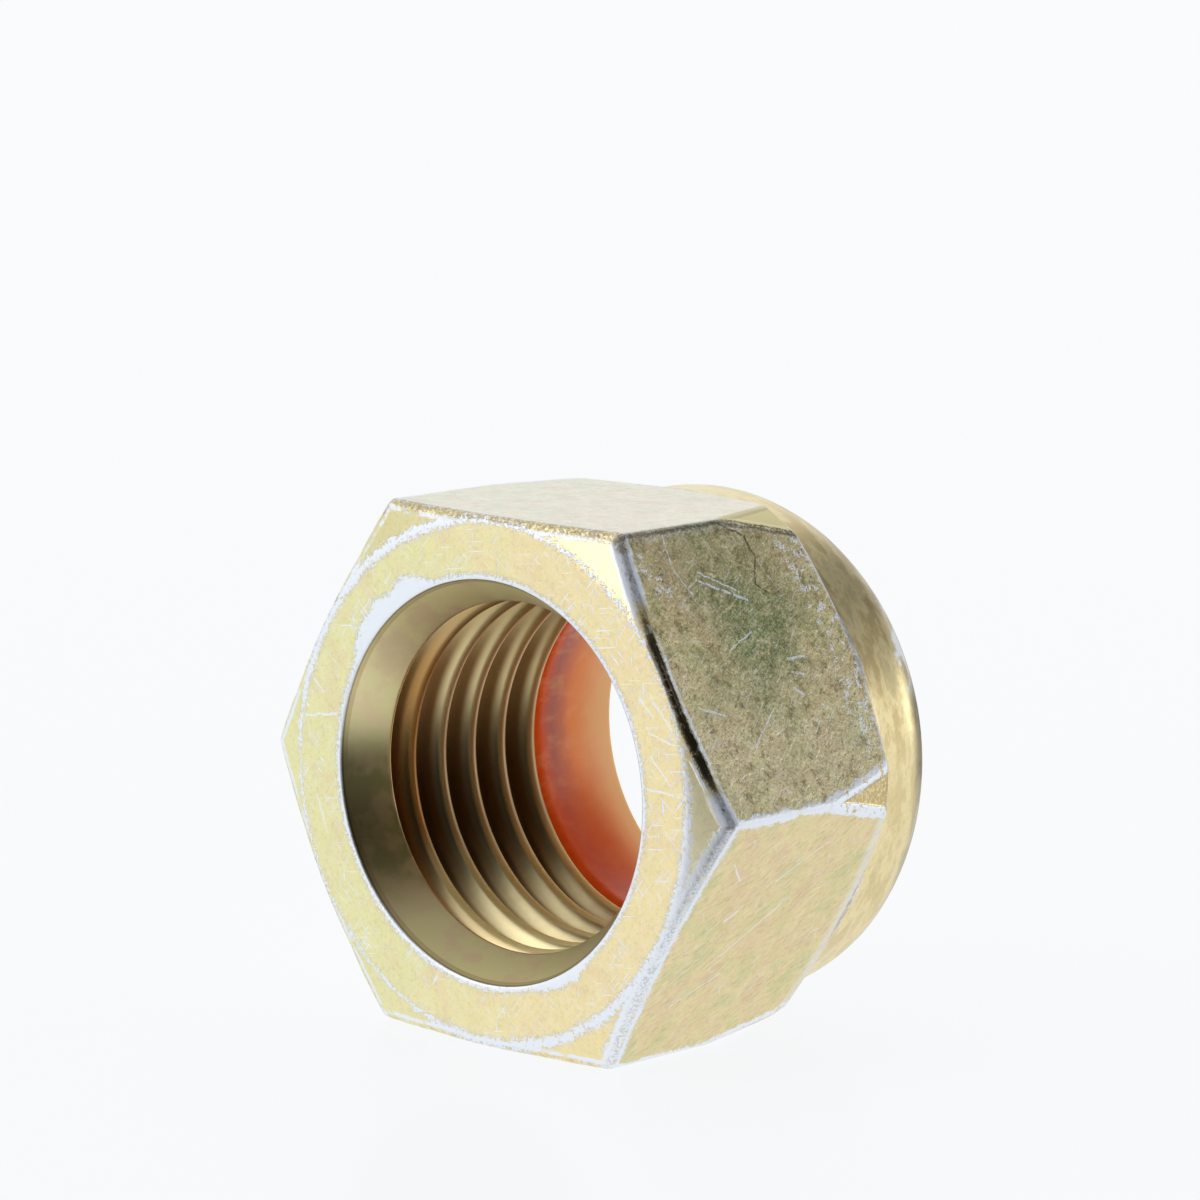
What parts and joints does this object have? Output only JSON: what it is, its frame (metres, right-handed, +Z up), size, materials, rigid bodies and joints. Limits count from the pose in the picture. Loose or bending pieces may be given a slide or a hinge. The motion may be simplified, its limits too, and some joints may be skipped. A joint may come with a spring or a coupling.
{
  "type": "nylon insert lock nut",
  "caption": "Coarse-threaded hexagon lock nut with a round crimped collar that holds an orange nylon locking ring.",
  "frame": {"origin": "on the surface the nut lies on, under the middle of its height and width", "axes": "+Z up from the flat it lies on, +Y along the thread from the bearing face to the nylon collar, +X across two corners"},
  "size_m": [0.0414, 0.027, 0.036],
  "materials": {
    "plated_steel": "yellow zinc plate, worn bright along its edges",
    "nylon": "translucent orange-red nylon"
  },
  "bodies": {
    "root": {"nut_body": "plated_steel", "nylon_insert": "nylon"}
  },
  "joints": []
}
